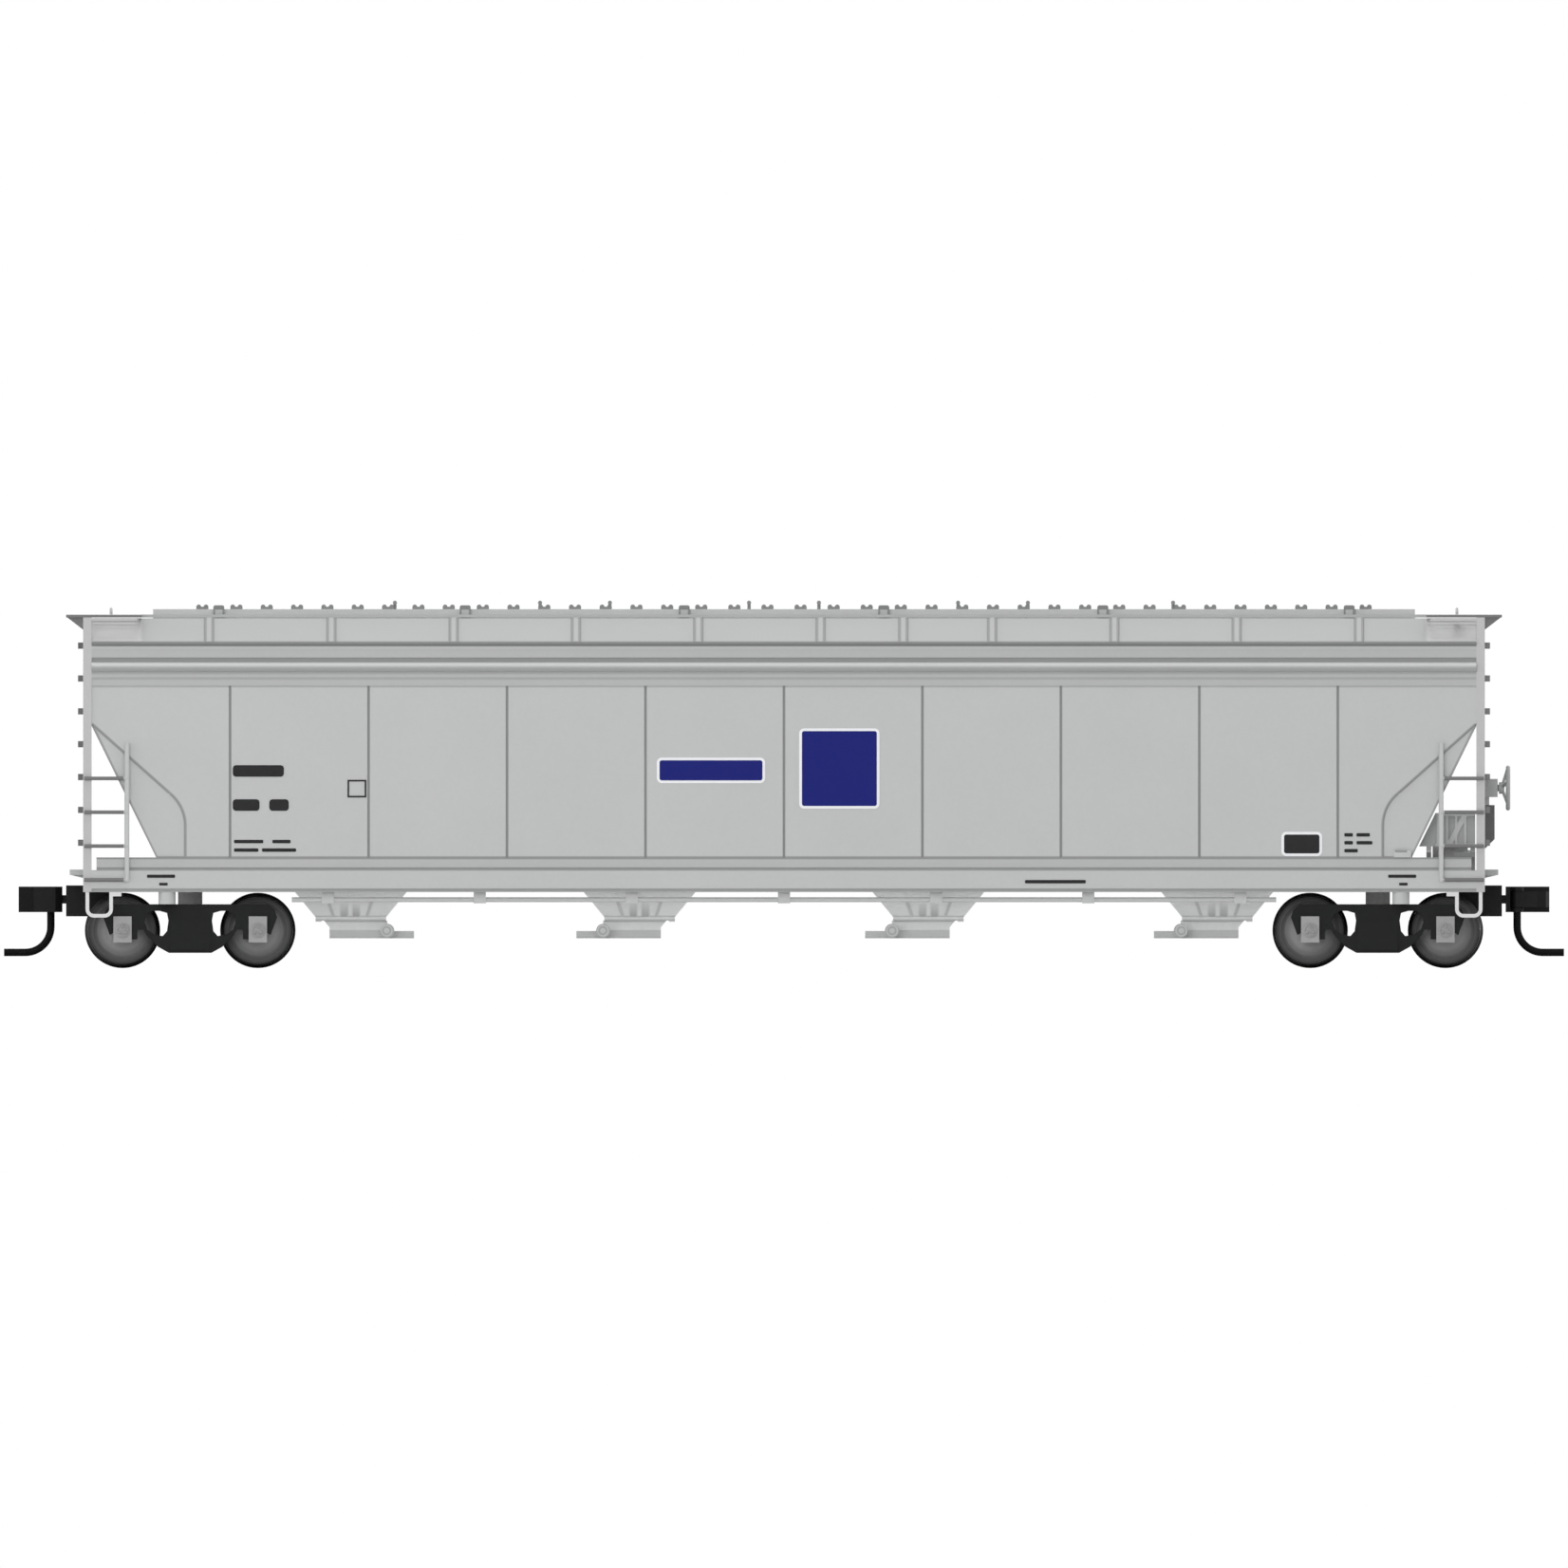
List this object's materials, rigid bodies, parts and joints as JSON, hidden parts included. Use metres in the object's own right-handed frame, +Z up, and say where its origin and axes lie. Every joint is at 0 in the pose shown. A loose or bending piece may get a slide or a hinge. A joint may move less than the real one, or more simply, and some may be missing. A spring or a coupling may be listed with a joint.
{
  "type": "model hopper car",
  "caption": "Covered hopper car at 1:160 for 9 mm gauge track, with swivelling trucks, rolling wheelsets, sprung couplers and a turning brake wheel.",
  "frame": {"origin": "midway along and across the car, level with the lowest points of the wheels", "axes": "+X along the car towards the end with the brake wheel, +Y across it, +Z up"},
  "size_m": [0.1282, 0.0206, 0.0302],
  "materials": {
    "body_grey": "satin",
    "detail_grey": "satin",
    "pale_grey": "satin",
    "truck_black": "matte",
    "coupler_black": "matte",
    "black_wire": "satin",
    "wheel_metal": "blackened",
    "steel": "turned",
    "bronze": "rolled"
  },
  "bodies": {
    "car_body": {"body_shell": "body_grey", "roof": "body_grey", "hatch_cover_1": "body_grey", "hatch_cover_2": "body_grey", "hatch_cover_3": "body_grey", "hatch_cover_4": "body_grey", "hatch_cover_5": "body_grey", "corner_posts": "body_grey", "end_sills": "body_grey", "underframe": "body_grey", "air_reservoir": "body_grey", "control_valve": "body_grey", "brake_cylinder": "body_grey", "brake_stand": "body_grey", "running_board_left": "detail_grey", "running_board_right": "detail_grey", "end_walk_a": "detail_grey", "end_walk_b": "detail_grey", "side_ladders": "detail_grey", "end_ladder_a": "detail_grey", "end_ladder_b": "detail_grey", "crossover_platforms": "detail_grey", "hopper_bay_1": "detail_grey", "hopper_bay_2": "detail_grey", "hopper_bay_3": "detail_grey", "hopper_bay_4": "detail_grey", "outlet_gate_1": "detail_grey", "outlet_gate_2": "detail_grey", "outlet_gate_3": "detail_grey", "outlet_gate_4": "detail_grey", "brake_pipe": "detail_grey", "equipment_bracket": "detail_grey", "sill_steps": "pale_grey", "draft_box_a": "coupler_black", "draft_box_b": "coupler_black", "draft_lids": "coupler_black", "weight": "steel", "coupler_screws": "steel", "truck_screws": "steel", "centring_springs": "bronze"},
    "hand_wheel": {"brake_wheel": "body_grey"},
    "coupler_unit_a": {"coupler_a": "coupler_black"},
    "knuckle_unit_a": {"knuckle_a": "coupler_black", "trip_pin_a": "black_wire"},
    "truck_a": {"truck_frame_a": "truck_black", "bearing_adapters_a": "detail_grey"},
    "coupler_unit_b": {"coupler_b": "coupler_black"},
    "knuckle_unit_b": {"knuckle_b": "coupler_black", "trip_pin_b": "black_wire"},
    "truck_b": {"truck_frame_b": "truck_black", "bearing_adapters_b": "detail_grey"},
    "wheelset_1": {"axle_1": "steel", "wheels_1": "wheel_metal"},
    "wheelset_2": {"axle_2": "steel", "wheels_2": "wheel_metal"},
    "wheelset_3": {"axle_3": "steel", "wheels_3": "wheel_metal"},
    "wheelset_4": {"axle_4": "steel", "wheels_4": "wheel_metal"}
  },
  "joints": [
    {"name": "brake_wheel_turn", "type": "hinge", "parent": "car_body", "child": "hand_wheel", "pos_m": [0.0585, -0.0034, 0.0148], "axis": [1, 0, 0], "continuous": true},
    {"name": "truck_a_swivel", "type": "hinge", "parent": "car_body", "child": "truck_a", "pos_m": [-0.0488, 0, 0.0052], "axis": [0, 0, 1], "range_deg": [-12, 12]},
    {"name": "coupler_a_swing", "type": "hinge", "parent": "car_body", "child": "coupler_unit_a", "pos_m": [-0.056, 0, 0.00565], "axis": [0, 0, 1], "range_deg": [-10, 10], "stiffness_Nm_per_rad": 0.0004},
    {"name": "knuckle_a_open", "type": "hinge", "parent": "coupler_unit_a", "child": "knuckle_unit_a", "pos_m": [-0.06025, 0.00055, 0.00565], "axis": [0, 0, -1], "range_deg": [0, 25], "stiffness_Nm_per_rad": 0.0003},
    {"name": "truck_b_swivel", "type": "hinge", "parent": "car_body", "child": "truck_b", "pos_m": [0.0488, 0, 0.0052], "axis": [0, 0, 1], "range_deg": [-12, 12]},
    {"name": "coupler_b_swing", "type": "hinge", "parent": "car_body", "child": "coupler_unit_b", "pos_m": [0.056, 0, 0.00565], "axis": [0, 0, 1], "range_deg": [-10, 10], "stiffness_Nm_per_rad": 0.0004},
    {"name": "knuckle_b_open", "type": "hinge", "parent": "coupler_unit_b", "child": "knuckle_unit_b", "pos_m": [0.06025, -0.00055, 0.00565], "axis": [0, 0, -1], "range_deg": [0, 25], "stiffness_Nm_per_rad": 0.0003},
    {"name": "wheelset_1_roll", "type": "hinge", "parent": "truck_a", "child": "wheelset_1", "pos_m": [-0.05436, 0, 0.0031], "axis": [0, 1, 0], "continuous": true},
    {"name": "wheelset_2_roll", "type": "hinge", "parent": "truck_a", "child": "wheelset_2", "pos_m": [-0.04324, 0, 0.0031], "axis": [0, 1, 0], "continuous": true},
    {"name": "wheelset_3_roll", "type": "hinge", "parent": "truck_b", "child": "wheelset_3", "pos_m": [0.04324, 0, 0.0031], "axis": [0, 1, 0], "continuous": true},
    {"name": "wheelset_4_roll", "type": "hinge", "parent": "truck_b", "child": "wheelset_4", "pos_m": [0.05436, 0, 0.0031], "axis": [0, 1, 0], "continuous": true}
  ]
}
